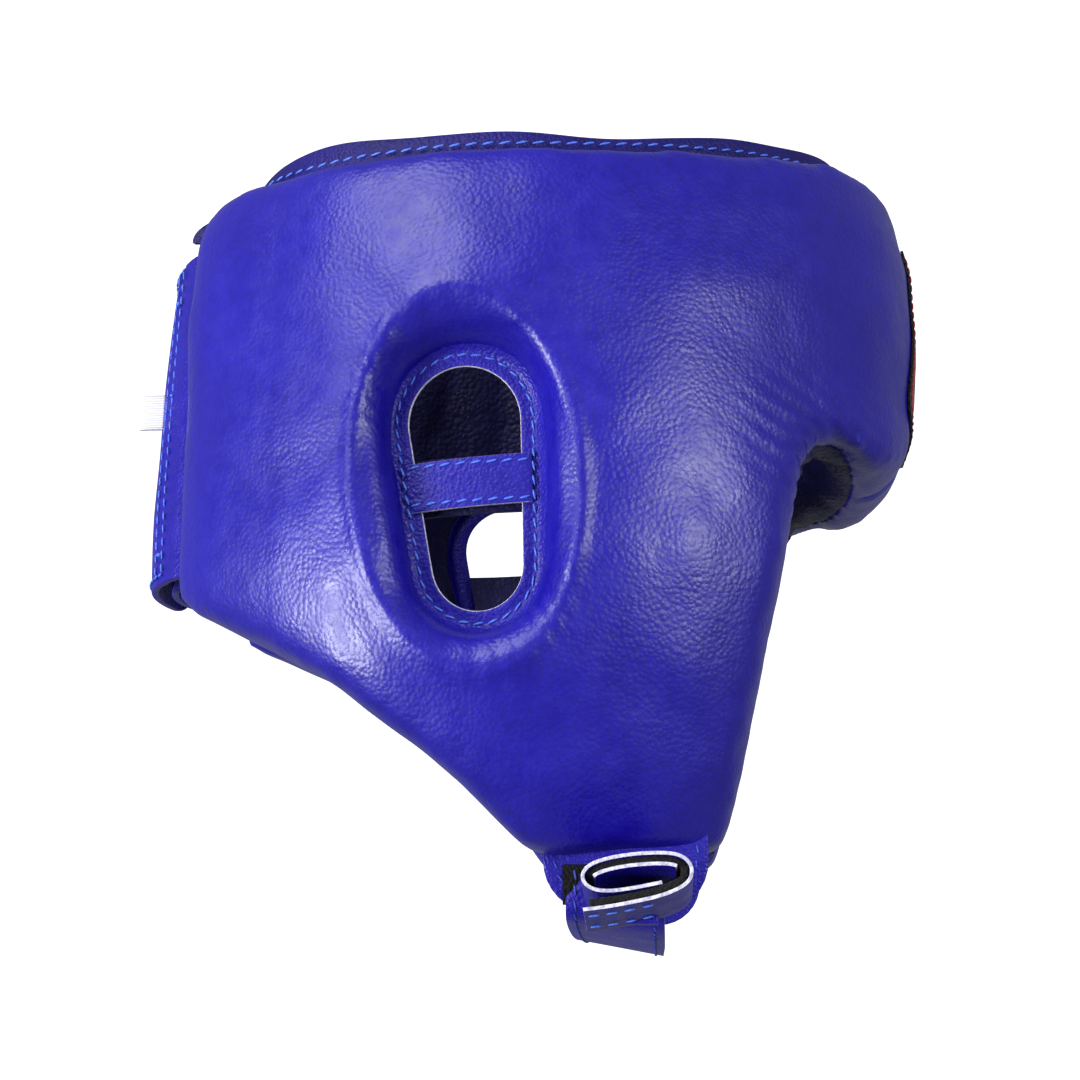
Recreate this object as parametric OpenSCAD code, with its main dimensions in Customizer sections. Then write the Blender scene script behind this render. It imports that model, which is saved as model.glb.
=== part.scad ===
// Boxing headgear: open-face padded leather shell with a hook-and-loop back and chin strap.
// +X points forward (forehead), +Y to the wearer's left, +Z up.
// The origin is midway between the centres of the two ear openings, where the head's centre sits.

/* [Head] */
// Width between the linings, at the ears
head_w = 157; // [140:1:190]
// From the centre plane of the shell forward to the lining at the brow
head_front = 101; // [90:1:130]
// From the centre plane of the shell back to the lining behind the ears
head_rear = 84; // [72:1:100]
// How far the centre plane of the shell lies in front of the ears
centre_x = 5; // [0:1:12]

/* [Padding] */
// Thickness of the finished padding at the side, leather to lining
side_pad_t = 23; // [18:1:30]
// Thickness of the finished padding at the forehead
brow_pad_t = 27; // [20:1:36]
// Thickness of the outer leather
leather_t = 1.4; // [1:0.1:2.4]
// Thickness of the lining leather
lining_t = 1.2; // [0.8:0.1:2]
// Thickness of the firm outer foam
outer_foam_t = 10; // [6:0.5:12]
// Room left between two layers
layer_gap = 0.3; // [0.2:0.05:0.6]

/* [Side outline] */
// Height of the rim over the ears
rim_side_z = 98; // [85:1:110]
// Height of the rim at the forehead
rim_front_z = 110; // [95:1:120]
// Height of the rim behind the ears
rim_rear_z = 101; // [85:1:115]
// Height of the lower edge of the forehead pad, in the middle
brow_z = 13; // [4:1:25]
// Highest point of the arch beside the eye
arch_z = 23; // [12:1:35]
// How far in front of the ears the top of the arch lies
arch_x = 104; // [92:1:110]
// Front edge of the cheek at eye height
cheek_top_x = 89; // [75:1:92]
// Front edge of the cheek at its foot
cheek_foot_x = 71; // [62:1:80]
// Height of the foot of the cheek
cheek_foot_z = -101; // [-116:1:-85]
// Front-to-back width of the foot of the cheek
cheek_foot_w = 54; // [44:1:62]
// Height of the jaw line under the ear
jaw_z = -69; // [-82:1:-60]
// Height of the lower rear corner
rear_foot_z = -26; // [-42:1:-10]
// Distance between the rear ends of the two padded sides
rear_gap = 88; // [70:1:110]
// How far forward the slope of each rear end reaches from the outer leather
end_slope_l = 9; // [4:1:14]

/* [Ear opening] */
// Height of the hole
ear_hole_h = 70; // [55:1:84]
// Width of the hole at its widest
ear_hole_w = 32; // [24:1:40]
// Width of the flat ring sewn round the hole
ear_ring_w = 6; // [5:0.5:9]
// Depth of the ring below the outer leather
ear_ring_depth = 15.5; // [12:0.5:16]
// Thickness of the ring and of the bar
ear_ring_t = 2.6; // [1.6:0.2:3]
// Height of the bar across the hole
ear_bar_h = 16.5; // [10:0.5:22]
// Height of the middle of the bar above the middle of the hole
ear_bar_z = 1; // [-6:1:8]
// Thickness of the bar's backing strip
ear_backing_t = 1.4; // [1:0.2:2]
// How far the padding is drawn in beyond the ring, all round
ear_recess_w = 9; // [5:1:14]
// Backward lean of the opening, in degrees
ear_lean = 5.5; // [0:0.5:12]

/* [Crown collar] */
// Height of the collar above the rim
collar_h = 8; // [5:0.5:14]
// Thickness of the collar
collar_t = 1.8; // [1.2:0.2:3]
// Depth of the collar inside the outer leather
collar_depth = 8; // [4:0.5:14]

/* [Back closure] */
// Rearmost point of the outer flap behind the ears
flap_rear = 111; // [106:1:125]
// Thickness of a flap
flap_t = 2.4; // [1.6:0.2:4]
// Height of the top edge of the flaps
flap_top_z = 91; // [80:1:96]
// Height of the bottom edge of the flaps
flap_foot_z = -18; // [-24:1:0]
// How far each flap passes the middle of the back
flap_overlap = 24; // [16:1:30]
// Thickness of the hook pad and of the loop pad
closure_pad_t = 1.5; // [1:0.1:2.5]
// Height of the hook pad and of the loop pad
closure_pad_h = 84; // [50:1:96]
// Size label: height along the seam
label_h = 12; // [8:1:20]
// Size label: how far it stands out
label_out = 5; // [3:1:10]

/* [Forehead patch] */
// Width of the patch at its top
patch_top_w = 31; // [20:1:40]
// Width of the patch at its corners
patch_w = 54; // [40:1:66]
// Height of the patch's top edge
patch_top_z = 94; // [80:1:98]
// Height of the patch's corners
patch_corner_z = 40; // [30:1:50]
// Height of the patch's lower point
patch_point_z = 26; // [18:1:30]
// Thickness of the patch
patch_t = 1.2; // [0.8:0.1:2]
// Width of the band inlaid in the patch
band_w = 6; // [3:0.5:10]

/* [Chin strap] */
// Width of the chin tab, front to back
tab_w = 46; // [36:1:52]
// How far the tab hangs below the foot of the cheek
tab_drop = 15; // [10:1:24]
// Thickness of the tab
tab_t = 2.4; // [1.6:0.2:4]
// Distance between the outer faces of the two tabs
tab_span = 122; // [112:1:128]
// Width of the chin strap
strap_w = 27; // [20:1:32]
// Thickness of the chin strap
strap_t = 2.4; // [1.6:0.2:4]
// How far the strap sags below the tabs
strap_sag = 9; // [7:1:20]
// Length of the rolled strap end, front to back
roll_w = 28; // [22:1:34]
// Height of the rolled strap end
roll_h = 14; // [12:0.5:18]
// Thickness of the tape on the inner face of the rolled end
tape_t = 1.2; // [0.8:0.1:1.6]

/* [Hidden] */

right = -1;
left = 1;
seam_gap = 0.2;            // room at a sewn seam
slice_t = 1;               // thickness of one slice of the shell's form
ring_points = 44;          // corners of one slice
end_slope_w = 19;          // how far outwards the slope of a rear end runs
reach = 300;               // longer than the headgear, for cuts right through it
$fn = 32;

half_w = head_w / 2 + side_pad_t;
front_r = head_front + brow_pad_t;
rear_r = head_rear + side_pad_t;
inner_depth = side_pad_t - lining_t;
foam_split = leather_t + layer_gap + outer_foam_t;
foam_floor = inner_depth - layer_gap;

brow_x = centre_x + front_r;   // front of the forehead
end_x = centre_x - rear_r * sqrt(1 - pow(rear_gap / 2 / half_w, 2));   // outer edge of a rear end

// How far the form draws in at each height: [height, at the front, at the rear, at each side]
LEVELS = [
    [-130, 46, 44, 42], [-104, 32, 24, 28], [-80, 20, 14, 17], [-50, 8, 4, 7],
    [-20, 1, 0, 1], [20, 0, 0, 0], [60, 0, 1, 0], [88, 3, 5, 4], [124, 10, 14, 14]
];
SIDE_IN = [for (s = LEVELS) [s[0], s[3]]];
FRONT_IN = [for (s = LEVELS) [s[0], s[1]]];
REAR_IN = [for (s = LEVELS) [s[0], s[2]]];

// Half width of the outer leather at a place along the head
function outer_half(x, z) =
    let (
        dx = x - centre_x,
        r = dx > 0 ? front_r - lookup(z, FRONT_IN) : rear_r - lookup(z, REAR_IN)
    )
    (half_w - lookup(z, SIDE_IN)) * sqrt(max(0, 1 - pow(dx / r, 2)));

// One slice of the form, drawn in by d at the side and in proportion at the forehead
module slice(s, d) {
    front = front_r - s[1] - d * brow_pad_t / side_pad_t;
    rear = rear_r - s[2] - d;
    half = half_w - s[3] - d;
    translate([centre_x, 0, s[0]])
        linear_extrude(slice_t)
            polygon([for (i = [0:ring_points - 1])
                let (a = i * 360 / ring_points)
                [cos(a) * (cos(a) > 0 ? front : rear), half * sin(a)]]);
}

// The solid form of the shell at depth d below the outer leather
module form(d) {
    for (i = [0:len(LEVELS) - 2])
        hull() {
            slice(LEVELS[i], d);
            slice(LEVELS[i + 1], d);
        }
}

// Side outline of the padding in X and Z, drawn in by d
module side_outline(d = 0) {
    offset(delta = -d)
        offset(r = -5) offset(r = 5)
            offset(r = 7) offset(delta = -7)
                polygon([
                    [-92, rear_foot_z + 4], [-92, rim_rear_z - 12], [-74, rim_rear_z],
                    [-40, rim_side_z + 1], [0, rim_side_z], [40, rim_side_z + 1],
                    [80, (rim_side_z + rim_front_z) / 2], [110, rim_front_z],
                    [160, rim_front_z], [160, brow_z + 50], [brow_x + 2, brow_z + 40],
                    [brow_x - 3, brow_z + 12], [brow_x - 14, brow_z],
                    [arch_x + 7, arch_z - 6], [arch_x, arch_z], [arch_x - 7, arch_z - 4],
                    [cheek_top_x + 4, arch_z - 13], [cheek_top_x, -8],
                    [(cheek_top_x + cheek_foot_x) / 2, cheek_foot_z / 2],
                    [cheek_foot_x, cheek_foot_z + 8], [cheek_foot_x - 3, cheek_foot_z],
                    [cheek_foot_x - cheek_foot_w / 2, cheek_foot_z + 3],
                    [cheek_foot_x - cheek_foot_w, cheek_foot_z],
                    [cheek_foot_x - cheek_foot_w - 22, jaw_z - 8],
                    [-36, (jaw_z + rear_foot_z) / 2 - 6], [-62, rear_foot_z - 12]
                ]);
}

// A cut right across the headgear, from an outline drawn in X and Z
module across() {
    rotate([90, 0, 0])
        linear_extrude(reach, center = true)
            children();
}

// One side of the headgear, outline in X and Z pushed outwards to that side only
module to_side(side) {
    mirror([0, side == right ? 0 : 1, 0])
        rotate([90, 0, 0])
            linear_extrude(reach)
                children();
}

// Space between the rear ends of the padded sides, d larger all round; the ends slope outwards
module rear_space(d = 0) {
    width = rear_gap / 2 + d;
    wide = width + end_slope_w;
    slope_x = end_x + end_slope_l;
    back_x = slope_x - 1.5 * end_slope_w;
    translate([0, 0, -reach / 2])
        linear_extrude(reach)
            polygon([
                [-20, -width], [slope_x, -width], [back_x, -wide], [-reach, -wide],
                [-reach, wide], [back_x, wide], [slope_x, width], [-20, width]
            ]);
}

// Everything on one side of the middle, starting g away from it
module half_space(side, g = seam_gap) {
    translate([-reach / 2, side == right ? -reach - g / 2 : g / 2, -reach / 2])
        cube([reach, reach, reach]);
}

// Outline of the ear opening in X and Z, d larger all round: an egg with its small end down
module ear_egg(d = 0) {
    top_r = ear_hole_w / 2;
    low_r = top_r * 0.8;
    rotate(ear_lean)
        offset(r = d)
            hull() {
                translate([0, ear_hole_h / 2 - top_r]) circle(top_r);
                translate([0, low_r - ear_hole_h / 2]) circle(low_r);
            }
}

// The hollow that the padding falls into round the ear, d larger all round
module ear_recess(side, d = 0) {
    floor_y = half_w - ear_ring_depth + 1;
    mouth_y = half_w + 6;
    hull() {
        translate([0, side * floor_y, 0])
            rotate([90, 0, 0]) linear_extrude(1, center = true) ear_egg(ear_ring_w + d);
        translate([0, side * mouth_y, 0])
            rotate([90, 0, 0])
                linear_extrude(1, center = true) ear_egg(ear_ring_w + ear_recess_w + d);
    }
    to_side(side) ear_egg(ear_ring_w + d);
}

// The padded body at depth d: its outer face, its edges and the ear hollows all drawn in by d
module padded(d) {
    difference() {
        intersection() {
            form(d);
            across() side_outline(d);
        }
        rear_space(d);
        ear_recess(right, d);
        ear_recess(left, d);
    }
}

// A layer of the padding between two depths
module foam(from, to) {
    difference() {
        intersection() {
            padded(leather_t + layer_gap);
            form(from);
        }
        form(to);
    }
}

temple_x = 58;             // where the forehead foam meets the side foam
cheek_split_z = -46;       // where the side foam meets the cheek foam

module forehead_block() {
    translate([temple_x + layer_gap / 2, -reach / 2, -20]) cube([reach, reach, reach]);
}

module side_block(side) {
    intersection() {
        half_space(side);
        translate([-reach, -reach / 2, cheek_split_z + layer_gap / 2])
            cube([reach + temple_x - layer_gap / 2, reach, reach]);
    }
    intersection() {
        half_space(side);
        translate([0, -reach / 2, cheek_split_z + layer_gap / 2])
            cube([reach, reach, -20 - layer_gap - cheek_split_z]);
    }
}

module cheek_block(side) {
    intersection() {
        half_space(side);
        translate([-reach / 2, -reach / 2, cheek_split_z - layer_gap / 2 - reach])
            cube(reach);
    }
}

// Outer leather: the skin of the padding, turned over its edges down to the lining
module cover(side) {
    color("mediumblue")
        intersection() {
            difference() {
                padded(0);
                padded(leather_t);
                form(inner_depth - layer_gap);
            }
            half_space(side);
        }
}

module cover_right() { cover(right); }
module cover_left() { cover(left); }

// Lining leather on the head side
module lining(side) {
    color("midnightblue")
        intersection() {
            difference() {
                intersection() {
                    form(inner_depth);
                    across() side_outline(leather_t);
                }
                form(side_pad_t);
                rear_space(leather_t);
                to_side(side) ear_egg(ear_ring_w);
            }
            half_space(side);
        }
}

module lining_right() { lining(right); }
module lining_left() { lining(left); }

module forehead_foam_outer() {
    color("dimgray")
        intersection() {
            foam(0, foam_split);
            forehead_block();
        }
}

module forehead_foam_inner() {
    color("gray")
        intersection() {
            foam(foam_split + layer_gap, foam_floor);
            forehead_block();
        }
}

module side_foam_outer(side) {
    color("dimgray")
        intersection() {
            foam(0, foam_split);
            side_block(side);
        }
}

module side_foam_outer_right() { side_foam_outer(right); }
module side_foam_outer_left() { side_foam_outer(left); }

module side_foam_inner(side) {
    color("gray")
        intersection() {
            foam(foam_split + layer_gap, foam_floor);
            side_block(side);
        }
}

module side_foam_inner_right() { side_foam_inner(right); }
module side_foam_inner_left() { side_foam_inner(left); }

// The cheek is one block of foam, leather to lining
module cheek_foam(side) {
    color("slategray")
        intersection() {
            foam(0, foam_floor);
            cheek_block(side);
        }
}

module cheek_foam_right() { cheek_foam(right); }
module cheek_foam_left() { cheek_foam(left); }

// Flat leather ring sewn round the ear opening
module ear_ring(side) {
    color("blue")
        difference() {
            intersection() {
                form(ear_ring_depth);
                to_side(side)
                    difference() {
                        ear_egg(ear_ring_w - layer_gap);
                        ear_egg();
                    }
            }
            form(ear_ring_depth + ear_ring_t);
        }
}

module ear_ring_right() { ear_ring(right); }
module ear_ring_left() { ear_ring(left); }

// The strip of the ear opening that the bar covers
module bar_outline() {
    intersection() {
        ear_egg(-layer_gap);
        rotate(ear_lean / 2)
            translate([-ear_hole_w, ear_bar_z - ear_bar_h / 2])
                square([2 * ear_hole_w, ear_bar_h]);
    }
}

module ear_bar(side) {
    color("blue")
        difference() {
            intersection() {
                form(ear_ring_depth);
                to_side(side) bar_outline();
            }
            form(ear_ring_depth + ear_ring_t);
        }
}

module ear_bar_right() { ear_bar(right); }
module ear_bar_left() { ear_bar(left); }

// Lining strip behind the bar
module ear_bar_backing(side) {
    from = ear_ring_depth + ear_ring_t + layer_gap;
    color("midnightblue")
        difference() {
            intersection() {
                form(from);
                to_side(side) bar_outline();
            }
            form(from + ear_backing_t);
        }
}

module ear_bar_backing_right() { ear_bar_backing(right); }
module ear_bar_backing_left() { ear_bar_backing(left); }

// Thin collar that stands up out of the crown opening
module crown_collar(side) {
    color("navy")
        intersection() {
            difference() {
                form(collar_depth);
                form(collar_depth + collar_t);
                rear_space();
                across() side_outline(-seam_gap);
            }
            across() side_outline(-collar_h);
            half_space(side);
            translate([-reach / 2, -reach / 2, rim_side_z - 30]) cube(reach);
        }
}

module crown_collar_right() { crown_collar(right); }
module crown_collar_left() { crown_collar(left); }

// Shield on the forehead, outline in Y and Z
module patch_outline(d = 0) {
    offset(delta = -d)
        offset(r = 3) offset(delta = -3)
            polygon([
                [patch_top_w / 2, patch_top_z], [patch_w / 2, patch_corner_z],
                [0, patch_point_z], [-patch_w / 2, patch_corner_z],
                [-patch_top_w / 2, patch_top_z]
            ]);
}

// A skin on the outside of the forehead, between two heights above the leather
module brow_skin(low, high) {
    intersection() {
        difference() {
            form(-high);
            form(-low);
        }
        rotate([90, 0, 90]) linear_extrude(reach) children();
    }
}

module band_outline() {
    difference() {
        patch_outline(band_w / 2);
        patch_outline(band_w * 1.5);
    }
}

module forehead_patch() {
    color("black")
        brow_skin(seam_gap, seam_gap + patch_t)
            difference() {
                patch_outline();
                offset(delta = seam_gap) band_outline();
            }
}

module forehead_patch_band() {
    color("red")
        brow_skin(seam_gap, seam_gap + patch_t) band_outline();
}

// The flaps follow one circle, struck through the outer flap's ends and its rearmost point
flap_root_x = end_x + 3.5;
flap_rise = flap_rear + flap_root_x;
flap_r = (pow(rear_gap / 2, 2) + pow(flap_rise, 2)) / (2 * flap_rise);
flap_centre_x = flap_r - flap_rear;
inner_flap_r = flap_r - flap_t - 2 * closure_pad_t - 3 * layer_gap;

// A band of a cylinder about the flaps' centre, seen from behind through an outline in Y and Z
module flap_band(r_out, thick) {
    intersection() {
        translate([flap_centre_x, 0, 0])
            difference() {
                cylinder(r = r_out, h = reach, center = true, $fn = 96);
                cylinder(r = r_out - thick, h = reach, center = true, $fn = 96);
            }
        translate([flap_centre_x - 2, 0, 0])
            rotate([90, 0, -90]) linear_extrude(reach) children();
    }
}

// Outline of a flap from behind: to one side it reaches the padding, past the middle it is round
module flap_outline(side) {
    mirror([side == right ? 0 : 1, 0])
        offset(r = 9) offset(delta = -9)
            polygon([
                [rear_gap / 2 + 30, flap_foot_z - 4], [rear_gap / 2, flap_foot_z - 2],
                [-flap_overlap, flap_foot_z], [-flap_overlap, flap_top_z],
                [rear_gap / 2 + 30, flap_top_z]
            ]);
}

module rear_flap_outer() {
    color("mediumblue")
        intersection() {
            flap_band(flap_r, flap_t) flap_outline(right);
            rear_space(-seam_gap);
        }
}

module rear_flap_inner() {
    color("mediumblue")
        intersection() {
            flap_band(inner_flap_r, flap_t) flap_outline(left);
            rear_space(-seam_gap);
        }
}

// Outline of the closure pads where the flaps overlap
module closure_outline() {
    mid_z = (flap_top_z + flap_foot_z) / 2;
    width = 2 * flap_overlap - 10;
    translate([-width / 2, mid_z - closure_pad_h / 2]) square([width, closure_pad_h]);
}

module rear_hook_pad() {
    color("black")
        flap_band(flap_r - flap_t - layer_gap / 3, closure_pad_t) closure_outline();
}

module rear_loop_pad() {
    color("black")
        flap_band(inner_flap_r + closure_pad_t + layer_gap / 3, closure_pad_t)
            closure_outline();
}

// Folded tag on the outer flap, standing out behind
label_y = -20;
label_z = 43;
label_t = 1;
module size_label() {
    x = flap_centre_x - sqrt(pow(flap_r, 2) - pow(label_y + label_t, 2)) - seam_gap;
    color("white")
        translate([x - label_out, label_y, label_z - label_h / 2])
            cube([label_out, label_t, label_h]);
}

tab_x = cheek_foot_x - cheek_foot_w / 2 - 2;
tab_foot_z = cheek_foot_z - tab_drop;
tab_y = tab_span / 2;
strap_x = tab_x - 3;

// Unpadded leather tab below the cheek
module chin_tab(side) {
    color("mediumblue")
        translate([0, side * (tab_y - tab_t / 2), 0])
            rotate([90, 0, 0])
                linear_extrude(tab_t, center = true)
                    difference() {
                        offset(r = 14) offset(delta = -14)
                            translate([tab_x - tab_w / 2, tab_foot_z])
                                square([tab_w, tab_drop + 30]);
                        side_outline(-seam_gap);
                        translate([-reach / 2, cheek_foot_z + 8]) square(reach);
                    }
}

module chin_tab_right() { chin_tab(right); }
module chin_tab_left() { chin_tab(left); }

pad_t = 1.4;               // thickness of the loop pad on the tab
pad_h = tab_drop - 4;
module chin_loop_pad() {
    color("black")
        translate([tab_x - strap_w / 2 - 4, -tab_y - seam_gap - pad_t, tab_foot_z + 2])
            cube([strap_w + 8, pad_t, pad_h]);
}

// The strap's run in Y and Z: down the left tab, under the chin and up over the loop pad
strap_in = pad_t + 0.8;    // from a tab's outer face to the strap's inner face
strap_end_z = tab_foot_z + pad_h;
hinge_z = tab_foot_z + 2;
turn = 3;                  // how far below the tab the strap turns under it
module strap_run(d) {
    polygon([
        [tab_y + strap_in + d, hinge_z],
        [tab_y + strap_in + d, tab_foot_z - turn - d * 0.4],
        [tab_y - 8, tab_foot_z - turn - d - 3],
        [24, tab_foot_z - strap_sag - d],
        [-24, tab_foot_z - strap_sag - d],
        [8 - tab_y, tab_foot_z - turn - d - 3],
        [-tab_y - strap_in - d, tab_foot_z - turn - d * 0.4],
        [-tab_y - strap_in - d, strap_end_z]
    ]);
}

module chin_strap() {
    color("mediumblue")
        translate([strap_x - strap_w / 2, 0, 0])
            rotate([90, 0, 90])
                linear_extrude(strap_w)
                    difference() {
                        strap_run(strap_t);
                        strap_run(0);
                        translate([0, hinge_z]) square(reach);
                        translate([-tab_y - strap_in, tab_foot_z - turn])
                            square([2 * (tab_y + strap_in), reach]);
                    }
}

// The strap's sewn end on the left tab, above its bend
module strap_anchor() {
    color("mediumblue")
        translate([strap_x - strap_w / 2, tab_y + seam_gap, hinge_z + layer_gap])
            cube([strap_w, strap_t, pad_h - 4]);
}

roll_x = tab_x + 2;
roll_z = cheek_foot_z - 7;
strap_face_y = tab_y + strap_in + strap_t + seam_gap;
roll_y = outer_half(roll_x, cheek_foot_z + 4) + 1;

// Oval outline of the rolled strap end, in X and Z, drawn in by d
module roll_outline(d) {
    r = roll_h / 2;
    offset(delta = -d)
        hull()
            for (s = [-1, 1])
                translate([roll_x + s * (roll_w / 2 - r), roll_z + s * 1.5]) circle(r);
}

// The strap's end, rolled up beside the right tab, with the short run that joins it to the strap
module strap_end_roll() {
    color("mediumblue")
        difference() {
            union() {
                translate([0, -roll_y, 0])
                    rotate([90, 0, 0]) linear_extrude(strap_w) roll_outline(0);
                translate([roll_x - roll_h / 2, -roll_y - 2, roll_z - roll_h / 2])
                    cube([roll_h, roll_y + 2 - strap_face_y, strap_t]);
            }
            translate([0, -roll_y, 0])
                rotate([90, 0, 0]) linear_extrude(strap_w + 1) roll_outline(strap_t);
        }
}

module strap_hook_tape() {
    color("black")
        translate([0, -roll_y, 0])
            rotate([90, 0, 0])
                linear_extrude(strap_w)
                    difference() {
                        roll_outline(strap_t + 0.1);
                        roll_outline(strap_t + 0.1 + tape_t);
                    }
}

cover_right();
cover_left();
lining_right();
lining_left();
forehead_foam_outer();
forehead_foam_inner();
side_foam_outer_right();
side_foam_outer_left();
side_foam_inner_right();
side_foam_inner_left();
cheek_foam_right();
cheek_foam_left();
ear_ring_right();
ear_ring_left();
ear_bar_right();
ear_bar_left();
ear_bar_backing_right();
ear_bar_backing_left();
crown_collar_right();
crown_collar_left();
forehead_patch();
forehead_patch_band();
rear_flap_outer();
rear_flap_inner();
rear_hook_pad();
rear_loop_pad();
size_label();
chin_tab_right();
chin_tab_left();
chin_loop_pad();
strap_anchor();
chin_strap();
strap_end_roll();
strap_hook_tape();
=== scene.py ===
"""A boxing headgear: padded leather shell, rear closure, forehead shield and chin strap."""
import math

import bmesh
import bpy
import numpy as np
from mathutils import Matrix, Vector, noise
from mathutils.bvhtree import BVHTree


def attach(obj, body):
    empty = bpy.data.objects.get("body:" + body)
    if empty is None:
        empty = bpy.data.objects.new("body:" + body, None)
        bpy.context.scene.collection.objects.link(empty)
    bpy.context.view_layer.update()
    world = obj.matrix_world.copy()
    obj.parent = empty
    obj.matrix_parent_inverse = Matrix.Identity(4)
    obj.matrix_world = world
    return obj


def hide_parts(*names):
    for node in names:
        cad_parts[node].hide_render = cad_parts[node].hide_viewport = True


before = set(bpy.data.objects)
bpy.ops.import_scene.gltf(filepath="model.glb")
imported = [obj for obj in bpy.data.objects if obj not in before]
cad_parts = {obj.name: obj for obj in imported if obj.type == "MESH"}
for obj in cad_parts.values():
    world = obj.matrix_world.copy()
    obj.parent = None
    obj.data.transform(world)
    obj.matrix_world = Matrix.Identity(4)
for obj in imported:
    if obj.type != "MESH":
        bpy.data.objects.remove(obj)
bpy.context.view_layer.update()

# ---- The padding ------------------------------------------------------------------------
# One stuffed body from forehead to jaw: foam between an outer leather and a lining. Its form
# is drawn in towards crown and chin; the table gives by how much, in mm, at each height.
HALF_W, FRONT_R, REAR_R, CENTRE_X = 101.5, 128.0, 107.0, 5.0
FRONT_SHARE = 27 / 23
PUFF_FRAMES = 20
LEVEL_Z = [-130, -104, -80, -50, -20, 20, 60, 88, 124]
FRONT_IN = [46, 32, 20, 8, 1, 0, 0, 3, 10]
REAR_IN = [44, 24, 14, 4, 0, 0, 1, 5, 14]
SIDE_IN = [42, 28, 17, 7, 1, 0, 0, 4, 14]
SKIN_NODES = ["cover_right", "cover_left", "lining_right", "lining_left"]
FOAM_NODES = [
    "forehead_foam_outer", "forehead_foam_inner",
    "side_foam_outer_right", "side_foam_outer_left",
    "side_foam_inner_right", "side_foam_inner_left",
    "cheek_foam_right", "cheek_foam_left",
]


def form_radii(x, z):
    """Radius along the head and half width of the form at places x, z, and its depth share."""
    ahead = x > CENTRE_X
    radius = np.where(
        ahead,
        FRONT_R - np.interp(z, LEVEL_Z, FRONT_IN),
        REAR_R - np.interp(z, LEVEL_Z, REAR_IN),
    )
    return radius, HALF_W - np.interp(z, LEVEL_Z, SIDE_IN), np.where(ahead, FRONT_SHARE, 1.0)


def depth_below(co):
    """How deep each point, in metres, lies below the form of the outer leather, in mm."""
    x, y, z = (np.asarray(co) * 1000).T
    radius, half, share = form_radii(x, z)
    dx = x - CENTRE_X
    depth = (1 - np.sqrt((dx / radius) ** 2 + (y / half) ** 2)) * half
    depth = np.clip(depth, -30, 70)
    for _ in range(12):
        a, b = radius - share * depth, half - depth
        value = (dx / a) ** 2 + (y / b) ** 2 - 1
        slope = 2 * share * dx**2 / a**3 + 2 * y**2 / b**3
        depth = np.clip(depth - np.clip(value / np.maximum(slope, 1e-4), -8, 8), -30, 70)
    return depth


def form_half(x, z, depth):
    """Half width of the form, in mm, at x, z and a depth below the outer leather."""
    radius, half, share = form_radii(np.asarray(x, float), np.asarray(z, float))
    round_in = 1 - ((x - CENTRE_X) / (radius - share * depth)) ** 2
    return (half - depth) * np.sqrt(np.maximum(round_in, 0))


def coords(mesh):
    """The mesh's vertex places as an array."""
    flat = np.empty(len(mesh.vertices) * 3)
    mesh.vertices.foreach_get("co", flat)
    return flat.reshape(-1, 3)


def set_coords(mesh, co):
    """Moves the mesh's vertices to these places."""
    mesh.vertices.foreach_set("co", np.asarray(co, float).ravel())
    mesh.update()


def normals(mesh):
    """The mesh's vertex normals as an array."""
    return np.array([n.vector for n in mesh.vertex_normals])


def add_object(name, mesh):
    """A new object at the origin that shows this mesh."""
    obj = bpy.data.objects.new(name, mesh)
    bpy.context.scene.collection.objects.link(obj)
    return obj


def built(name, bm):
    """A new object at the origin made from this bmesh, which is then freed."""
    mesh = bpy.data.meshes.new(name)
    bm.to_mesh(mesh)
    bm.free()
    return add_object(name, mesh)


def smooth_faces(obj):
    """Shades the object's faces smooth."""
    for p in obj.data.polygons:
        p.use_smooth = True
    return obj


def share(value, start, end):
    """How far value is on its way from start to end: 0 before, 1 beyond."""
    return np.clip((value - start) / (end - start), 0, 1)


def ridge(value, centre, width):
    """A smooth ridge of height 1 that falls off by width on both sides of centre."""
    return np.exp(-(((value - centre) / width) ** 2))


def finish_modifiers(obj):
    """Turns the object's modifiers into its mesh."""
    bpy.context.view_layer.update()
    shown = obj.evaluated_get(bpy.context.evaluated_depsgraph_get())
    mesh = bpy.data.meshes.new_from_object(shown)
    obj.modifiers.clear()
    obj.data = mesh
    return obj


def keep_largest(bm):
    """Drops every island of the mesh but the largest."""
    bm.verts.ensure_lookup_table()
    seen, best = set(), []
    for start in bm.verts:
        if start in seen:
            continue
        island, edge_of_island = [], [start]
        seen.add(start)
        while edge_of_island:
            v = edge_of_island.pop()
            island.append(v)
            for e in v.link_edges:
                w = e.other_vert(v)
                if w not in seen:
                    seen.add(w)
                    edge_of_island.append(w)
        if len(island) > len(best):
            best = island
    keep = set(best)
    bmesh.ops.delete(bm, geom=[v for v in bm.verts if v not in keep], context="VERTS")


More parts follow.
